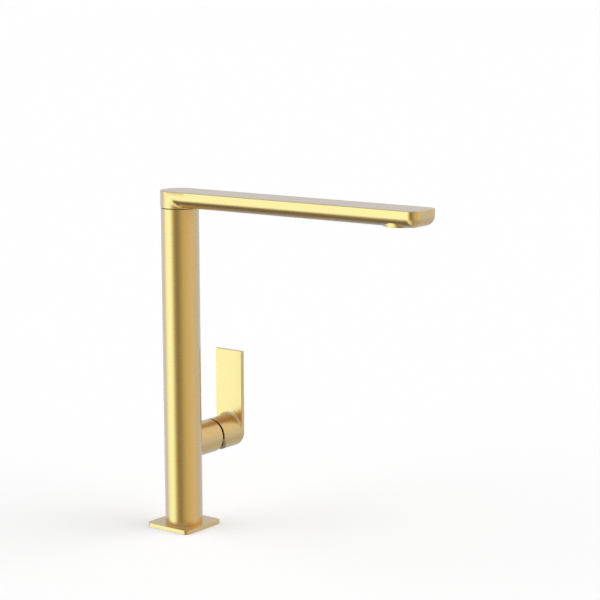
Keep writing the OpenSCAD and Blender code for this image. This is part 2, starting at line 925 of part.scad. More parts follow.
module flow_straightener() {
    pitch = cell_d + 0.7;
    rings = floor((aerator_bore_r - cell_d) / pitch);
    color(white_plastic)
        difference() {
            translate([0, -outlet_reach, straightener_bottom])
                cylinder(r = aerator_bore_r - joint_gap, h = straightener_top - straightener_bottom);
            for (i = [0:rings], j = [0:max(0, 6 * i - 1)])
                translate([0, -outlet_reach, straightener_bottom - cut])
                    rotate([0, 0, i == 0 ? 0 : 60 * j / i])
                        translate([i * pitch, 0, 0])
                            cylinder(d = cell_d, h = straightener_top);
        }
}

module flow_screens() {
    color(steel)
        for (i = [0, 1])
            translate([0, -outlet_reach, straightener_top + 0.1 + i * (screen_t + 0.2)])
                cylinder(r = aerator_bore_r - 2 * joint_gap, h = screen_t);
}

base_plate();
deck_gasket();
column();
valve_body();
riser_tube();
fixing_shank();
rubber_washer();
steel_washer();
ring_nut();
cartridge_base();
cartridge_seals();
fixed_disc();
cartridge_cup();
cartridge_nut();
trim_ring();
spindle_carrier();
spindle_pin();
disc_slide();
moving_disc();
spindle();
lever();
lever_set_screw();
screw_plug();
swivel_socket();
glide_rings();
thrust_washer();
spout_stop_screw();
spout_shell();
spout_shank();
shank_o_rings();
water_tube();
outlet_seat();
aerator_housing();
aerator_seal();
flow_straightener();
flow_screens();
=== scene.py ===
import json
import math
import bpy
import bmesh
from mathutils import Matrix, Vector


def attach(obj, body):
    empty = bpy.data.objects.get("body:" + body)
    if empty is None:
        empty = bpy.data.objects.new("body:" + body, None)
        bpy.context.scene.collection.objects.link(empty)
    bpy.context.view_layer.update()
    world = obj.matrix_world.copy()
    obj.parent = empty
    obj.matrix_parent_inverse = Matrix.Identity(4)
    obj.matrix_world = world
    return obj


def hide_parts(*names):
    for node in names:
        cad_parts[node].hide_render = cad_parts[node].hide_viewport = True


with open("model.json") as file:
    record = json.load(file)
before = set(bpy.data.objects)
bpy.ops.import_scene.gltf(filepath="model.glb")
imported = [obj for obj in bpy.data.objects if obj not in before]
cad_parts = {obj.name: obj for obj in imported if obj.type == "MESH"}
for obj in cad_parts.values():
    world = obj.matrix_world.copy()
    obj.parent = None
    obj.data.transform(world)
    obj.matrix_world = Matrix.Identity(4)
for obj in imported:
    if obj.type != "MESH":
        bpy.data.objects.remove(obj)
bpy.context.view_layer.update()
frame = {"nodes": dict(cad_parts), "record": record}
print("frame loaded:", len(frame["nodes"]), "nodes")

# Shapes are modelled in millimetres and brought to metres when they are finished.
millimetre = 0.001
roundSteps, holeSteps = 128, 48    # facets of a large round shape and of a small hole
past = 1.0                         # how far a cutter runs past the face it opens
planeGap = 0.01                    # how far off a plane a point still counts as on it
# points this close to each other become one, by what made them
joined = {"spin": 0.0001, "cut": 0.0005, "arc": 0.001, "underside": 0.004}


def meshOf(name, bm):
    # moves a shape into a mesh of its own
    mesh = bpy.data.meshes.new(name)
    bm.to_mesh(mesh)
    bm.free()
    return mesh


def placed(name, data):
    # puts an object with this data into the scene
    item = bpy.data.objects.new(name, data)
    bpy.context.scene.collection.objects.link(item)
    return item


def moved(bm, place):
    bmesh.ops.translate(bm, vec=place, verts=bm.verts)
    return bm


def rotated(bm, matrix):
    # turns a shape about the origin
    bmesh.ops.rotate(bm, cent=(0, 0, 0), matrix=matrix, verts=bm.verts)
    return bm


def turnedTo(bm, direction, place=(0, 0, 0)):
    # lays what was made along Z along another direction, then moves it
    turn = Vector((0, 0, 1)).rotation_difference(Vector(direction)).to_matrix()
    return moved(rotated(bm, turn), place)


def turned(outline, steps=roundSteps, closed=True):
    # an outline of (radius, height) points spun once round the Z axis
    bm = bmesh.new()
    points = [bm.verts.new((radius, 0, height)) for radius, height in outline]
    lines = [bm.edges.new(pair) for pair in zip(points, points[1:])]
    if closed:
        lines.append(bm.edges.new((points[-1], points[0])))
    bmesh.ops.spin(bm, geom=points + lines, cent=(0, 0, 0), axis=(0, 0, 1),
                   angle=math.tau, steps=steps, use_merge=True)
    bmesh.ops.remove_doubles(bm, verts=bm.verts, dist=joined["spin"])
    bmesh.ops.recalc_face_normals(bm, faces=bm.faces)
    return bm


def rod(radius, start, end, edge=0.0, steps=roundSteps):
    # a solid round bar along Z, with its two rims chamfered by edge
    if edge:
        side = [(radius - edge, start), (radius, start + edge), (radius, end - edge), (radius - edge, end)]
    else:
        side = [(radius, start), (radius, end)]
    return turned([(0, start)] + side + [(0, end)], steps=steps, closed=False)


def rodX(radius, start, end, height, edge=0.0, steps=roundSteps):
    # the same along X, at a height
    return turnedTo(rod(radius, start, end, edge, steps), (1, 0, 0), (0, 0, height))


def block(low, high):
    # a box between two corners
    bm = bmesh.new()
    bmesh.ops.create_cube(bm, size=1)
    low, high = Vector(low), Vector(high)
    bmesh.ops.scale(bm, vec=high - low, verts=bm.verts)
    return moved(bm, (low + high) / 2)


def rectangle(low, high):
    # a flat face between two corners (x, y)
    bm = bmesh.new()
    bmesh.ops.create_grid(bm, x_segments=1, y_segments=1, size=0.5)
    bmesh.ops.scale(bm, vec=(high[0] - low[0], high[1] - low[1], 1), verts=bm.verts)
    return moved(bm, ((low[0] + high[0]) / 2, (low[1] + high[1]) / 2, 0))


def roundedCorners(bm, radius, segments, test=None):
    # rounds the corners of a flat face, or those that test picks
    corners = [v for v in bm.verts if not test or test(v.co)]
    bmesh.ops.bevel(bm, geom=corners, offset=radius, offset_type="OFFSET", affect="VERTICES",
                    segments=segments, profile=0.5, material=-1)
    bmesh.ops.remove_doubles(bm, verts=bm.verts, dist=joined["arc"])
    return bm


def lifted(flat, height):
    # gives a flat face a height along Z
    top = bmesh.ops.extrude_face_region(flat, geom=list(flat.faces))["geom"]
    raised = [v for v in top if isinstance(v, bmesh.types.BMVert)]
    bmesh.ops.translate(flat, vec=(0, 0, height), verts=raised)
    bmesh.ops.recalc_face_normals(flat, faces=flat.faces)
    return flat


def softened(bm, width, segments=2, test=None, angle=30):
    # bevels the edges that are sharper than angle, or those of them that test picks
    edges = [e for e in bm.edges if e.is_manifold and e.calc_face_angle(0) > math.radians(angle)]
    if test:
        edges = [e for e in edges if test((e.verts[0].co + e.verts[1].co) / 2)]
    bmesh.ops.bevel(bm, geom=edges, offset=width, offset_type="OFFSET", affect="EDGES",
                    segments=segments, profile=0.5, material=-1, clamp_overlap=True)
    return bm


def combined(bm, other, operation):
    # one exact boolean between two closed shapes, which are both used up
    first, second = [placed("work", meshOf("work", part)) for part in (bm, other)]
    change = first.modifiers.new("change", "BOOLEAN")
    change.object = second
    change.operation = operation
    change.solver = "EXACT"
    bpy.context.view_layer.update()
    result = bmesh.new()
    result.from_object(first, bpy.context.evaluated_depsgraph_get())
    for item in (first, second):
        mesh = item.data
        bpy.data.objects.remove(item)
        bpy.data.meshes.remove(mesh)
    bmesh.ops.remove_doubles(result, verts=result.verts, dist=joined["cut"])
    bmesh.ops.dissolve_degenerate(result, edges=result.edges, dist=joined["cut"])
    return result


def cut(bm, other):
    return combined(bm, other, "DIFFERENCE")


def merged(bm, other):
    return combined(bm, other, "UNION")


def shared(bm, other):
    return combined(bm, other, "INTERSECT")


def finished(name, bm, body, materials, replaced, smoothAngle=28):
    # brings a shape to metres, makes it a piece on its body and hides the CAD nodes it stands in for
    bmesh.ops.scale(bm, vec=(millimetre,) * 3, verts=bm.verts)
    mesh = meshOf(name, bm)
    mesh.shade_smooth()
    mesh.set_sharp_from_angle(angle=math.radians(smoothAngle))
    for material in materials:
        mesh.materials.append(material)
    piece = placed(name, mesh)
    even = piece.modifiers.new("even shading", "WEIGHTED_NORMAL")
    even.keep_sharp = True
    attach(piece, body)
    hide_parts(*replaced)
    print("made", name, len(mesh.polygons), "faces")


def node(tree, kind, settings=None, **values):
    # a new node, where an underscore in a value's name stands for a space in its socket's
    item = tree.nodes.new(kind)
    for key, value in (settings or {}).items():
        setattr(item, key, value)
    for label, value in values.items():
        item.inputs[label.replace("_", " ")].default_value = value
    return item


def mixed(tree, share, first, second):
    # first and second are colours or outputs, share says how much of the second
    # a colour mix has its colours at inputs 6 and 7 and its result at output 2
    mix = node(tree, "ShaderNodeMix", {"data_type": "RGBA"})
    tree.links.new(share, mix.inputs[0])
    for socket, source in ((mix.inputs[6], first), (mix.inputs[7], second)):
        if isinstance(source, tuple):
            socket.default_value = (*source, 1)
        else:
            tree.links.new(source, socket)
    return mix.outputs[2]


def ranged(tree, source, start, end, low=0.0, high=1.0, kind="SMOOTHSTEP"):
    # what runs from start to end in source runs from low to high in the result
    item = node(tree, "ShaderNodeMapRange", {"interpolation_type": kind},
                From_Min=start, From_Max=end, To_Min=low, To_Max=high)
    tree.links.new(source, item.inputs["Value"])
    return item.outputs["Result"]


def patterned(name, look, pattern):
    # a material whose tone, roughness and faint bump all follow one pattern
    material = bpy.data.materials.new(name)
    material.use_nodes = True
    tree = material.node_tree
    shader = tree.nodes["Principled BSDF"]
    source = pattern(tree, node(tree, "ShaderNodeTexCoord").outputs["Object"])
    low, high = look["roughness"] - look["spread"], look["roughness"] + look["spread"]
    bump = node(tree, "ShaderNodeBump", Strength=look["bump"], Distance=look["depth"])
    link = tree.links.new
    link(mixed(tree, source, look["dark"], look["light"]), shader.inputs["Base Color"])
    link(ranged(tree, source, 0, 1, low, high, "LINEAR"), shader.inputs["Roughness"])
    link(source, bump.inputs["Height"])
    link(bump.outputs["Normal"], shader.inputs["Normal"])
    return material


def makeBrushGroup():
    # fine parallel scratches: the coordinates come in already stretched along the brushing
    group = bpy.data.node_groups.new("brushed lines", "ShaderNodeTree")
    for label, way, kind in (("Vector", "INPUT", "NodeSocketVector"),
                             ("Coarse share", "INPUT", "NodeSocketFloat"),
                             ("Lines", "OUTPUT", "NodeSocketFloat")):
        group.interface.new_socket(name=label, in_out=way, socket_type=kind)
    given, result = group.nodes.new("NodeGroupInput"), group.nodes.new("NodeGroupOutput")
    fine = node(group, "ShaderNodeTexNoise", Scale=1.0, Detail=3.0, Roughness=0.6)
    coarse = node(group, "ShaderNodeTexNoise", Scale=0.23, Detail=2.0, Roughness=0.5)
    # a number mix has its numbers at inputs 2 and 3
    blend = node(group, "ShaderNodeMix", {"data_type": "FLOAT"})
    link = group.links.new
    for noise in (fine, coarse):
        link(given.outputs["Vector"], noise.inputs["Vector"])
    link(given.outputs["Coarse share"], blend.inputs[0])
    link(fine.outputs["Fac"], blend.inputs[2])
    link(coarse.outputs["Fac"], blend.inputs[3])
    link(blend.outputs[0], result.inputs["Lines"])
    return group


brushGroup = makeBrushGroup()


def brushedMetal(name, look, stretch):
    # stretch: how many scratches cross a metre along X, Y and Z; few means along the scratch
    def lines(tree, place):
        mapping = node(tree, "ShaderNodeMapping", Scale=stretch)
        brush = node(tree, "ShaderNodeGroup", {"node_tree": brushGroup}, Coarse_share=look["coarseShare"])
        tree.links.new(place, mapping.inputs["Vector"])
        tree.links.new(mapping.outputs["Vector"], brush.inputs["Vector"])
        return brush.outputs["Lines"]

    material = patterned(name, look, lines)
    shader = material.node_tree.nodes["Principled BSDF"]
    shader.inputs["Metallic"].default_value = 1.0
    shader.inputs["Coat Weight"].default_value = look["coat"]
    shader.inputs["Coat Roughness"].default_value = look["coatRoughness"]
    return material


def plainSolid(name, look):
    # moulded plastic, rubber or ceramic: a faint mottled tone and a fine skin
    def grain(tree, place):
        noise = node(tree, "ShaderNodeTexNoise", Scale=look["grain"], Detail=3.0)
        tree.links.new(place, noise.inputs["Vector"])
        return noise.outputs["Fac"]

    return patterned(name, {"spread": 0.06, "depth": 0.00005, **look}, grain)


goldLook = {
    "dark": (0.70, 0.445, 0.125), "light": (0.80, 0.525, 0.170),
    "roughness": 0.27, "spread": 0.03, "coarseShare": 0.15,
    "bump": 0.03, "depth": 0.00002, "coat": 0.9, "coatRoughness": 0.28,
}
rawBrassLook = {
    "dark": (0.50, 0.36, 0.15), "light": (0.66, 0.49, 0.23),
    "roughness": 0.34, "spread": 0.10, "coarseShare": 0.5,
    "bump": 0.25, "depth": 0.00005, "coat": 0.0, "coatRoughness": 0.1,
}
steelLook = {
    "dark": (0.48, 0.48, 0.48), "light": (0.62, 0.62, 0.61),
    "roughness": 0.32, "spread": 0.08, "coarseShare": 0.5,
    "bump": 0.2, "depth": 0.00004, "coat": 0.0, "coatRoughness": 0.1,
}
darkSteelLook = {
    "dark": (0.075, 0.07, 0.065), "light": (0.12, 0.11, 0.10),
    "roughness": 0.38, "spread": 0.06, "coarseShare": 0.5,
    "bump": 0.15, "depth": 0.00003, "coat": 0.0, "coatRoughness": 0.1,
}
across, along = 3200, 45           # scratches per metre across and along the brushing
around, through = 170, 3200        # the same on something turned: round it and along its axis
satin = (600, 600, 600)            # the same on a finish without a direction
goldRoundZ = brushedMetal("gold brushed round the column", goldLook, (around, around, through))
goldRoundX = brushedMetal("gold brushed round the valve", goldLook, (through, around, around))
goldAlongY = brushedMetal("gold brushed along the spout", goldLook, (across, along, across))
goldAlongX = brushedMetal("gold brushed across the plate", goldLook, (along, across, across))
goldAlongZ = brushedMetal("gold brushed up the paddle", goldLook, (across, across, along))
rawBrass = brushedMetal("turned brass", rawBrassLook, (around, around, through))
rawBrassX = brushedMetal("turned brass of the valve", rawBrassLook, (through, around, around))
steel = brushedMetal("satin steel", steelLook, satin)
darkSteel = brushedMetal("blackened steel", darkSteelLook, satin)
blackRubber = plainSolid("black rubber", {
    "dark": (0.010, 0.010, 0.011), "light": (0.022, 0.022, 0.024),
    "roughness": 0.72, "grain": 1500, "bump": 0.3})
blackPlastic = plainSolid("black moulded plastic", {
    "dark": (0.018, 0.018, 0.020), "light": (0.030, 0.030, 0.033),
    "roughness": 0.42, "grain": 900, "bump": 0.12})
whitePlastic = plainSolid("white moulded plastic", {
    "dark": (0.72, 0.71, 0.68), "light": (0.80, 0.79, 0.76),
    "roughness": 0.38, "grain": 700, "bump": 0.08})
ceramic = plainSolid("lapped ceramic", {
    "dark": (0.80, 0.79, 0.77), "light": (0.86, 0.85, 0.83),
    "roughness": 0.14, "grain": 500, "bump": 0.03})
print("materials ready")

column = {
    "radius": 17.5, "bore": 15.5, "foot": 4.0, "top": 299.7, "edge": 0.15, "cutterLength": 30.0,
    "valveHeight": 78.5, "neckRadius": 14.45, "screwHeight": 288.0, "screwRadius": 2.5,
}


def columnShape():
    radius, bore, foot, top, edge = [column[key] for key in ("radius", "bore", "foot", "top", "edge")]
    shape = turned([
        (bore, foot), (radius - edge, foot), (radius, foot + edge),
        (radius, top - edge), (radius - edge, top), (bore, top)])
    shape = cut(shape, rodX(column["neckRadius"], 0, column["cutterLength"], column["valveHeight"]))
    screwHole = rod(column["screwRadius"], 0, column["cutterLength"], steps=holeSteps)
    return cut(shape, turnedTo(screwHole, (0, 1, 0), (0, 0, column["screwHeight"])))


finished("columnTube", columnShape(), "tap_body", [goldRoundZ], ["column"])

plate = {
    "side": 50.0, "thickness": 4.0, "corner": 5.0, "edge": 0.4, "hole": 16.3,
    "grooveInner": 16.7, "grooveOuter": 21.2, "grooveDepth": 1.5,
}


def plateShape():
    half, top = plate["side"] / 2, plate["thickness"]
    shape = roundedCorners(rectangle((-half, -half), (half, half)), plate["corner"], segments=14)
    shape = lifted(shape, top)
    shape = softened(shape, plate["edge"], 3, lambda middle: middle.z > top - planeGap)
    shape = softened(shape, plate["edge"] / 2, 1, lambda middle: middle.z < planeGap)
    shape = cut(shape, rod(plate["hole"], -past, top + past))
    inner, outer, depth = plate["grooveInner"], plate["grooveOuter"], plate["grooveDepth"]
    return cut(shape, turned([(inner, -past), (outer, -past), (outer, depth), (inner, depth)]))


finished("basePlateBody", plateShape(), "tap_body", [goldAlongX], ["base_plate"])

spout = {
    "length": 269.5, "width": 35.8, "bottom": 301.2, "top": 316.0, "tipCorner": 9.02,
    "underRadius": 8.98, "topEdge": 0.8, "headBottom": 300.3, "headTop": 315.0, "headEdge": 0.2,
    "wall": 2.0, "cavityTop": 313.2, "cavityEnd": 258.5, "cavityRadius": 7.0, "threadHole": 8.05,
    "tubeHole": 3.85, "tubeHeight": 309.1, "outletReach": 244.0, "outletHole": 9.3,
    "chamberTop": 312.9, "cutFrom": 290.0,
    "bossRadius": 16.0, "bossBottom": 301.0, "bossTop": 307.2, "bossEdge": 0.15,
}
# the blend under the head: where it lies, how finely it is divided and how often it is smoothed
weld = {
    "degrees": range(8, 83, 2), "front": 1.0, "top": 312.0, "floor": 0.3, "headGap": 0.05,
    "firstRing": 0.2, "rings": 15, "slices": 28, "step": 0.8, "passes": ((5.5, 5), (4.2, 10), (3.0, 25)),
}


def cavityBar():
    # the hollow of the bar, its two lower long edges rounded
    half, wall = spout["width"] / 2, spout["wall"]
    bottom = spout["bottom"] + wall
    bar = block((wall - half, -spout["cavityEnd"], bottom), (half - wall, -half, spout["cavityTop"]))
    return softened(bar, spout["cavityRadius"], 12,
                    lambda middle: middle.z < bottom + planeGap and abs(middle.x) > half / 2)


def spoutPlan():
    # the bar seen from above, with two round corners at the tip and a round head
    half = spout["width"] / 2
    plan = rectangle((-half, -spout["length"]), (half, half))
    plan = roundedCorners(plan, spout["tipCorner"], 16, lambda corner: corner.y < -half)
    return roundedCorners(plan, half, 32, lambda corner: corner.y > 0)


def weldBlend(shape):
    # rounds the hollow line where the bar's lower edges run into the round head, like a ground weld
    half, edge, bottom = spout["width"] / 2, spout["underRadius"], spout["bottom"]
    line = []
    for degrees in weld["degrees"]:
        angle = math.radians(degrees)
        x = half - edge + edge * math.cos(angle)
        y, z = -math.sqrt(half * half - x * x), bottom + edge - edge * math.sin(angle)
        line += [Vector((x, y, z)), Vector((-x, y, z))]

    def divided(onHead, place, direction):
        # divides the head's faces by a plane, or else the bar's
        faces = []
        for face in shape.faces:
            middle = face.calc_center_median()
            touches = abs(math.hypot(middle.x, middle.y) - half) < weld["headGap"]
            if touches == onHead and middle.y < weld["front"] and middle.z < weld["top"]:
                faces.append(face)
        edges = [e for f in faces for e in f.edges]
        verts = [v for f in faces for v in f.verts]
        parts = list(dict.fromkeys(faces + edges + verts))
        bmesh.ops.bisect_plane(shape, geom=parts, dist=joined["spin"], plane_co=place, plane_no=direction)

    for index in range(1, weld["rings"] + 1):
        divided(True, (0, 0, bottom + weld["firstRing"] + index * weld["step"]), (0, 0, 1))
    for index in range(weld["slices"]):
        divided(False, (0, -index * weld["step"], 0), (0, 1, 0))
    for reach, passes in weld["passes"]:
        moving = [v for v in shape.verts if v.co.z > bottom + weld["floor"]
                  and min((v.co - point).length for point in line) < reach]
        for count in range(passes):
            bmesh.ops.smooth_vert(shape, verts=moving, factor=0.5,
                                  use_axis_x=True, use_axis_y=True, use_axis_z=True)
    return shape


def spoutShape():
    half, bottom, top = spout["width"] / 2, spout["bottom"], spout["top"]
    outlet = (0, -spout["outletReach"], 0)
    shape = lifted(moved(spoutPlan(), (0, 0, bottom)), top - bottom)
    shape = softened(shape, spout["topEdge"], 4, lambda middle: middle.z > top - planeGap)
    lower = [e for e in shape.edges if all(v.co.z < bottom + planeGap for v in e.verts)]
    bmesh.ops.bevel(shape, geom=lower, offset=spout["underRadius"], offset_type="OFFSET", affect="EDGES",
                    segments=20, profile=0.5, material=-1, clamp_overlap=False)
    bmesh.ops.remove_doubles(shape, verts=shape.verts, dist=joined["underside"])
    shape = merged(shape, rod(half, spout["headBottom"], spout["headTop"], spout["headEdge"]))
    shape = weldBlend(shape)
    boss = rod(spout["bossRadius"], spout["bossBottom"], spout["bossTop"], spout["bossEdge"])
    shape = merged(shape, moved(boss, outlet))
    shape = cut(shape, cavityBar())
    shape = cut(shape, rod(spout["threadHole"], spout["cutFrom"], spout["chamberTop"]))
    tubeHole = rod(spout["tubeHole"], 0, half + past, steps=holeSteps)
    shape = cut(shape, turnedTo(tubeHole, (0, -1, 0), (0, 0, spout["tubeHeight"])))
    outletHole = rod(spout["outletHole"], spout["cutFrom"], bottom + spout["wall"] + past)
    return cut(shape, moved(outletHole, outlet))


finished("spoutBody", spoutShape(), "spout", [goldAlongY], ["spout_shell"])

valve = {
    "height": 78.5, "radius": 15.75, "end": 39.5, "edge": 0.3,
    "columnRadius": 17.55, "columnBottom": 40.0, "columnTop": 120.0,
    "neckRadius": 14.4, "neckEnd": 19.5, "blockRadius": 15.2, "blockBack": 9.0, "blockFront": 30.0,
    "blockSide": 20.0, "blockBottom": 50.0, "blockTop": 110.0,
    "bore": 13.0, "boreStart": 9.7, "boreEnd": 45.0, "channel": 2.25,
    "ports": [(-5.2, -3.0), (5.2, -3.0), (0.0, 6.0)],
    "hosePort": 4.5, "hosePitch": 12.0, "portFace": 69.0, "portDepth": 9.0,
    "flatEnd": 9.097, "flatSide": 18.0,
    "riserBore": 4.0, "riserFrom": 84.5, "riserSeat": 5.05, "riserStart": 87.05,
}


def valveShape():
    height, bottom, top, side = valve["height"], valve["blockBottom"], valve["blockTop"], valve["blockSide"]
    shape = rodX(valve["radius"], 0, valve["end"], height, valve["edge"])
    shape = cut(shape, rod(valve["columnRadius"], valve["columnBottom"], valve["columnTop"]))
    neck = rodX(valve["neckRadius"], -valve["blockBack"], valve["neckEnd"], height, steps=96)
    front = block((0, -side, bottom), (valve["blockFront"], side, top))
    shape = merged(shape, shared(neck, merged(rod(valve["blockRadius"], bottom, top), front)))
    shape = cut(shape, rodX(valve["bore"], valve["boreStart"], valve["boreEnd"], height))
    for aside, up in valve["ports"]:
        channel = rod(valve["channel"], 0, valve["boreStart"] + past, steps=32)
        shape = cut(shape, turnedTo(channel, (1, 0, 0), (0, aside, height + up)))
    face, flat = valve["portFace"], valve["flatSide"]
    shape = cut(shape, block((-flat, -flat, bottom), (valve["flatEnd"], flat, face)))
    for way in (-1, 1):
        port = rod(valve["hosePort"], face - past, face + valve["portDepth"], steps=holeSteps)
        shape = cut(shape, moved(port, (0, way * valve["hosePitch"] / 2, 0)))
    shape = cut(shape, rod(valve["riserBore"], valve["riserFrom"], top, steps=holeSteps))
    return cut(shape, rod(valve["riserSeat"], valve["riserStart"], top, steps=holeSteps))


finished("valveBranch", valveShape(), "tap_body", [goldRoundX], ["valve_body"])

lever = {
    "height": 78.5, "radius": 15.75, "sink": 0.01, "edge": 0.3, "start": 42.0, "end": 71.5,
    "hubEnd": 69.5, "bore": 13.15, "floor": 64.0,
    "paddleStart": 67.5, "paddleTop": 157.0, "paddleEdge": 0.45, "paddleFinish": 67.0,
    "fillet": 2.6, "filletSink": 0.6, "filletDegrees": range(0, 91, 9),
    "filletFrom": 50.0, "filletTo": 80.0, "filletLift": 0.3, "filletTop": 120.0,
    "socketOuter": 6.15, "socketEdge": 0.2, "socketBore": 3.65, "socketStart": 50.5, "socketEnd": 63.5,
    "socketFrom": 45.0, "reliefAngle": 37.0, "reliefDrop": 2.5, "reliefSize": 60.0, "reliefSide": 20.0,
    "screwX": 58.25, "screwHoles": ((2.5, 71.35, 78.5), (3.0, 61.5, 66.35)),
}


def paddleShape():
    # the hub's round end with the paddle rising from it, as one flat plate
    half = lever["radius"]
    tall = lever["paddleTop"] - lever["height"] + half
    plan = rectangle((half - tall, -half), (half, half))
    plan = roundedCorners(plan, half, 32, lambda corner: corner.x > 0)
    shape = softened(lifted(plan, lever["end"] - lever["paddleStart"]), lever["paddleEdge"], 3)
    # local X points down and local Z points out along the world's X
    shape = rotated(shape, Matrix(((0, 0, 1), (0, 1, 0), (-1, 0, 0))))
    shape = moved(shape, (lever["paddleStart"], 0, lever["height"]))
    bmesh.ops.recalc_face_normals(shape, faces=shape.faces)
    return shape


def filletRing():
    # the hollow rounding between the hub and the paddle's inner face
    radius, size, inside = lever["radius"] - 2 * lever["sink"], lever["fillet"], lever["filletSink"]
    arc = [(radius + size - size * math.sin(angle), -size + size * math.cos(angle))
           for angle in map(math.radians, lever["filletDegrees"])]
    outline = [(radius - inside, inside), (radius + size, inside)] + arc + [(radius - inside, -size)]
    ring = turnedTo(turned(outline), (1, 0, 0), (lever["paddleStart"] + lever["sink"], 0, lever["height"]))
    side = lever["radius"] - 3 * lever["sink"]
    return shared(ring, block((lever["filletFrom"], -side, lever["height"] + lever["filletLift"]),
                              (lever["filletTo"], side, lever["filletTop"])))


def leverShape():
    start, floor, height = lever["start"], lever["floor"], lever["height"]
    # the hub lies a hair inside the paddle's round foot, so that no two faces coincide
    shape = rodX(lever["radius"] - lever["sink"], start, lever["hubEnd"], height, lever["edge"])
    shape = merged(shape, paddleShape())
    shape = merged(shape, filletRing())
    hollow = rodX(lever["bore"], start - past, floor, height)
    socket = rodX(lever["socketOuter"], lever["socketStart"], floor + past, height,
                  lever["socketEdge"], steps=64)
    shape = cut(shape, cut(hollow, socket))
    shape = cut(shape, rodX(lever["socketBore"], lever["socketFrom"], lever["socketEnd"], height, steps=64))
    size, side = lever["reliefSize"], lever["reliefSide"]
    relief = block((-size, -side, -size), (0, side, 0))
    relief = rotated(relief, Matrix.Rotation(math.radians(lever["reliefAngle"]), 3, "Y").inverted())
    shape = cut(shape, moved(relief, (start, 0, height - lever["reliefDrop"])))
    for radius, low, high in lever["screwHoles"]:
        shape = cut(shape, moved(rod(radius, low, high, steps=holeSteps), (lever["screwX"], 0, 0)))
    for face in shape.faces:
        face.material_index = 1 if face.calc_center_median().x > lever["paddleFinish"] else 0
    return shape


finished("leverHandle", leverShape(), "handle", [goldRoundX, goldAlongZ], ["lever"])

aerator = {
    "reach": 244.0, "bottom": 300.2, "shoulder": 301.0, "top": 307.2, "collar": 10.0,
    "thread": 9.25, "bore": 8.05, "lip": 6.55, "lipBottom": 306.0, "edge": 0.25, "boreEdge": 0.2,
    "notches": 3, "notchWidth": 2.4, "notchDepth": 0.9, "notchFrom": 7.0, "notchTo": 9.3, "notchTurn": 0.4,
}


def aeratorShape():
    bottom, shoulder, top, low = [aerator[key] for key in ("bottom", "shoulder", "top", "lipBottom")]
    collar, thread, bore, lip = [aerator[key] for key in ("collar", "thread", "bore", "lip")]
    edge, boreEdge, half = aerator["edge"], aerator["boreEdge"], aerator["notchWidth"] / 2
    shape = turned([
        (bore, bottom + boreEdge), (bore + boreEdge, bottom), (collar - edge, bottom),
        (collar, bottom + edge), (collar, shoulder), (thread, shoulder), (thread, top),
        (lip, top), (lip, low), (bore, low)])
    for index in range(aerator["notches"]):
        notch = block((aerator["notchFrom"], -half, bottom - past),
                      (aerator["notchTo"], half, bottom + aerator["notchDepth"]))
        angle = math.tau * index / aerator["notches"] + aerator["notchTurn"]
        shape = cut(shape, rotated(notch, Matrix.Rotation(angle, 3, "Z")))
    return moved(shape, (0, -aerator["reach"], 0))


finished("aeratorCollar", aeratorShape(), "spout", [goldRoundZ], ["aerator_housing"])

# the fixing kit under the deck
fixing = {
    "radius": 16.0, "root": 15.1, "pitch": 1.5, "threadStart": -52.0, "threadEnd": -1.0, "overlap": 0.5,
    "shoulder": 4.0, "shoulderEdge": 0.2, "neck": 15.45, "neckEdge": 0.3, "top": 18.0, "bore": 13.0,
    "washerRadius": 25.0, "washerBore": 16.3, "rubberBottom": -33.0, "rubberTop": -30.0,
    "rubberEdge": 0.4, "steelBottom": -35.0, "steelEdge": 0.25, "nutBottom": -44.0, "nutKey": 41.0,
    "nutBore": 16.05, "nutFaceIn": 2.2, "nutRimOut": 0.3, "nutRimHeight": 1.4,
}


def threadedRod(radius, root, pitch, start, end, steps=64):
    # one tooth spun up a helix, its turns welded, then cut square at both ends
    bm = bmesh.new()
    tooth = [bm.verts.new(point) for point in
             ((root, 0, start - pitch), (radius, 0, start - pitch / 2), (root, 0, start))]
    lines = [bm.edges.new(pair) for pair in zip(tooth, tooth[1:])]
    spareTurns = 2
    turns = math.ceil((end - start) / pitch) + spareTurns
    bmesh.ops.spin(bm, geom=tooth + lines, cent=(0, 0, 0), axis=(0, 0, 1), angle=math.tau * turns,
                   steps=steps * turns, dvec=(0, 0, pitch / steps))
    bmesh.ops.remove_doubles(bm, verts=bm.verts, dist=joined["arc"])
    for height, up in ((start, -1), (end, 1)):
        bmesh.ops.bisect_plane(bm, geom=bm.verts[:] + bm.edges[:] + bm.faces[:], dist=joined["spin"],
                               plane_co=(0, 0, height), plane_no=(0, 0, up), clear_outer=True)
    bmesh.ops.holes_fill(bm, edges=[e for e in bm.edges if e.is_boundary], sides=0)
    bmesh.ops.recalc_face_normals(bm, faces=bm.faces)
    return bm


def shankShape():
    radius, start, end = fixing["radius"], fixing["threadStart"], fixing["threadEnd"]
    shape = threadedRod(radius, fixing["root"], fixing["pitch"], start, end)
    shape = merged(shape, rod(radius, end - fixing["overlap"], fixing["shoulder"], fixing["shoulderEdge"]))
    shape = merged(shape, rod(fixing["neck"], 0, fixing["top"], fixing["neckEdge"]))
    return cut(shape, rod(fixing["bore"], start - past, fixing["top"] + past))


def nutShape():
    low, high, rim = fixing["nutBottom"], fixing["steelBottom"], fixing["nutRimHeight"]
    # outer: from the nut's axis to its six corners
    outer = fixing["nutKey"] / 2 / math.cos(math.pi / 6)
    face, wide = outer - fixing["nutFaceIn"], outer + fixing["nutRimOut"]
    shape = bmesh.new()
    bmesh.ops.create_circle(shape, cap_ends=True, segments=6, radius=outer)
    shape = lifted(moved(shape, (0, 0, low)), high - low)
    shape = shared(shape, turned([
        (0, low), (face, low), (wide, low + rim), (wide, high - rim), (face, high), (0, high)], closed=False))
    return cut(shape, rod(fixing["nutBore"], low - past, high + past))


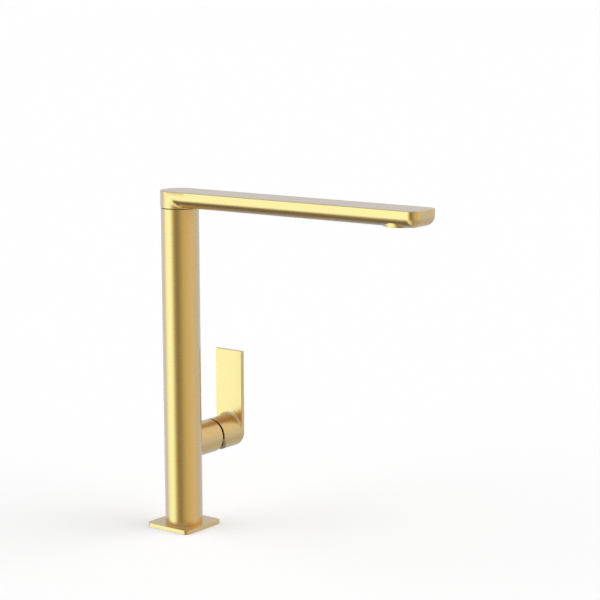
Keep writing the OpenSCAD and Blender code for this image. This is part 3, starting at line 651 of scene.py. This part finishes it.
def washerShape(bottom, top, edge):
    outer, bore = fixing["washerRadius"], fixing["washerBore"]
    return turned([
        (bore, bottom), (outer - edge, bottom), (outer, bottom + edge), (outer, top - edge),
        (outer - edge, top), (bore, top)])


rubberRing = washerShape(fixing["rubberBottom"], fixing["rubberTop"], fixing["rubberEdge"])
steelRing = washerShape(fixing["steelBottom"], fixing["rubberBottom"], fixing["steelEdge"])
finished("fixingShankThreaded", shankShape(), "tap_body", [rawBrass], ["fixing_shank"])
finished("ringNutHexagon", nutShape(), "tap_body", [rawBrass], ["ring_nut"])
finished("rubberWasherRing", rubberRing, "tap_body", [blackRubber], ["rubber_washer"])
finished("steelWasherRing", steelRing, "tap_body", [steel], ["steel_washer"])

# CAD nodes that keep their shape get a finish by their slot, or one of their own
slotFinishes = {
    "brushed_gold": goldRoundX, "raw_brass": rawBrass, "steel": steel, "black_rubber": blackRubber,
    "black_plastic": blackPlastic, "white_plastic": whitePlastic, "ceramic": ceramic,
}
ownFinishes = {"cartridge_nut": rawBrassX, "spout_stop_screw": darkSteel, "lever_set_screw": darkSteel}
slotOf = {row["node"]: row["material_slot"] for row in frame["record"]["subparts"]}
for name, item in frame["nodes"].items():
    finish = ownFinishes.get(name, slotFinishes[slotOf[name]])
    for index in range(len(item.data.materials)):
        item.data.materials[index] = finish
print("CAD nodes finished")

# The studio's light levels are given by heading, in degrees from +X towards +Y, then a colour.
studio = {
    "horizon": [
        (0, (0.65, 0.77, 1.14)), (35, (0.69, 0.745, 0.845)), (75, (0.79, 0.90, 1.22)),
        (90, (0.74, 0.91, 1.48)), (103, (0.72, 0.82, 1.38)), (113, (0.98, 1.20, 1.62)),
        (124, (1.30, 1.72, 2.20)), (136, (1.38, 1.86, 2.40)), (156, (1.36, 2.02, 2.42)),
        (165, (1.24, 1.70, 1.95)), (180, (0.58, 0.49, 0.37)), (188, (0.36, 0.30, 0.22)),
        (198, (0.22, 0.23, 0.165)), (214, (0.40, 0.40, 0.29)), (233, (0.67, 0.66, 0.50)),
        (246, (0.78, 0.74, 0.58)), (284, (0.82, 0.81, 0.87)), (302, (0.78, 0.80, 0.99)),
        (323, (0.65, 0.77, 1.12)),
    ],
    "low": [
        (0, (0.63, 0.65, 0.70)), (40, (0.53, 0.62, 0.88)), (63, (0.37, 0.47, 0.78)),
        (93, (0.27, 0.30, 0.42)), (113, (0.19, 0.20, 0.22)), (128, (0.135, 0.14, 0.125)),
        (137, (0.22, 0.23, 0.22)), (148, (1.05, 1.15, 1.25)), (178, (1.20, 1.30, 1.50)),
        (200, (0.55, 0.55, 0.58)), (225, (0.45, 0.45, 0.47)), (260, (0.60, 0.62, 0.66)),
        (310, (0.62, 0.66, 0.78)),
    ],
    "upper": [
        (0, (0.76, 0.80, 0.92)), (37, (0.66, 0.71, 0.80)), (75, (0.60, 0.66, 0.82)),
        (110, (0.60, 0.70, 0.95)), (170, (0.60, 0.74, 1.15)), (215, (0.58, 0.74, 1.35)),
        (250, (0.62, 0.68, 0.90)), (310, (0.78, 0.82, 0.92)),
    ],
    "high": [
        (0, (0.80, 0.85, 1.00)), (60, (0.64, 0.72, 0.86)), (100, (0.62, 0.84, 1.20)),
        (140, (0.56, 0.74, 1.40)), (170, (0.58, 0.80, 1.90)), (205, (0.58, 0.78, 1.80)),
        (240, (0.60, 0.62, 0.80)), (310, (0.85, 0.88, 1.00)),
    ],
    "lowFrom": -0.32, "lowTo": -0.52, "upperFrom": 0.03, "upperTo": 0.14, "highFrom": 0.36, "highTo": 0.60,
    "lampLine": (-0.602, 0.799, 0.0), "lampFrom": 0.4, "leftLamp": 3.3, "rightLamp": 3.4, "room": 0.38,
}


def headingRamp(tree, turns, levels):
    # a colour ramp round the compass that closes on itself
    ramp = node(tree, "ShaderNodeValToRGB")
    stops = ramp.color_ramp.elements
    while len(stops) > 1:
        stops.remove(stops[0])
    for index, (degrees, colour) in enumerate(levels + [(360, levels[0][1])]):
        stop = stops[0] if index == 0 else stops.new(degrees / 360)
        stop.position = degrees / 360
        stop.color = (*colour, 1)
    ramp.color_ramp.interpolation = "EASE"
    tree.links.new(turns, ramp.inputs[0])
    return ramp.outputs[0]


def calculated(tree, operation, *sources):
    # a calculation with outputs and plain numbers
    item = node(tree, "ShaderNodeMath", {"operation": operation})
    for socket, source in zip(item.inputs, sources):
        if isinstance(source, float):
            socket.default_value = source
        else:
            tree.links.new(source, socket)
    return item.outputs[0]


def makeWorld():
    world = bpy.data.worlds.new("studio")
    bpy.context.scene.world = world
    world.use_nodes = True
    tree = world.node_tree
    link = tree.links.new
    background = tree.nodes["Background"]
    place = node(tree, "ShaderNodeTexCoord")
    parts = node(tree, "ShaderNodeSeparateXYZ")
    link(place.outputs["Generated"], parts.inputs[0])
    heading = calculated(tree, "ARCTAN2", parts.outputs["Y"], parts.outputs["X"])
    turns = calculated(tree, "FRACT", calculated(tree, "DIVIDE", heading, math.tau))
    # what metal and clear things mirror: screens and lamps round the object
    level = headingRamp(tree, turns, studio["horizon"])
    for band in ("low", "upper", "high"):
        share = ranged(tree, parts.outputs["Z"], studio[band + "From"], studio[band + "To"])
        level = mixed(tree, share, level, headingRamp(tree, turns, studio[band]))
    # what lights matt surfaces: an even room with a broad soft lamp on each side
    aside = node(tree, "ShaderNodeVectorMath", {"operation": "DOT_PRODUCT"})
    link(place.outputs["Generated"], aside.inputs[0])
    aside.inputs[1].default_value = studio["lampLine"]
    left = ranged(tree, aside.outputs["Value"], studio["lampFrom"], 1, studio["room"], studio["leftLamp"])
    right = ranged(tree, aside.outputs["Value"], -studio["lampFrom"], -1, 0, studio["rightLamp"])
    seen = node(tree, "ShaderNodeLightPath").outputs
    mirrored = calculated(tree, "ADD", seen["Is Glossy Ray"], seen["Is Transmission Ray"])
    level = mixed(tree, mirrored, calculated(tree, "ADD", left, right), level)
    level = mixed(tree, seen["Is Camera Ray"], level, (1.0, 1.0, 1.0))
    link(level, background.inputs["Color"])


makeWorld()

floorValues = {"size": 60.0, "sink": 0.00005, "glow": 0.275, "grey": 0.71}


def makeFloor():
    # a pale ground that keeps the object's shadow, in metres
    half = floorValues["size"]
    plane = moved(rectangle((-half, -half), (half, half)), (0, 0, -floorValues["sink"]))
    material = bpy.data.materials.new("pale floor")
    material.use_nodes = True
    tree = material.node_tree
    tree.nodes.remove(tree.nodes["Principled BSDF"])
    glow = node(tree, "ShaderNodeEmission", Strength=floorValues["glow"], Color=(1, 1, 1, 1))
    matt = node(tree, "ShaderNodeBsdfDiffuse", Color=(floorValues["grey"],) * 3 + (1,))
    both = node(tree, "ShaderNodeAddShader")
    tree.links.new(glow.outputs[0], both.inputs[0])
    tree.links.new(matt.outputs[0], both.inputs[1])
    tree.links.new(both.outputs[0], tree.nodes["Material Output"].inputs["Surface"])
    mesh = meshOf("floor", plane)
    mesh.materials.append(material)
    floor = placed("floor", mesh)
    floor.visible_glossy = False
    floor.visible_diffuse = False
    return floor


makeFloor()
print("studio ready")

view = {
    "place": (-1.24372, -1.08287, 0.4901), "turn": (80.468, 0.169, -52.788), "lens": 108.77,
    "sensor": 36.0, "nearest": 0.02, "farthest": 200.0,
}
cameraData = bpy.data.cameras.new("camera")
cameraData.lens = view["lens"]
cameraData.sensor_width = view["sensor"]
cameraData.clip_start = view["nearest"]
cameraData.clip_end = view["farthest"]
camera = placed("camera", cameraData)
camera.location = view["place"]
camera.rotation_euler = [math.radians(angle) for angle in view["turn"]]
bpy.context.scene.camera = camera
bpy.context.scene.view_settings.view_transform = "Standard"
print("camera ready")
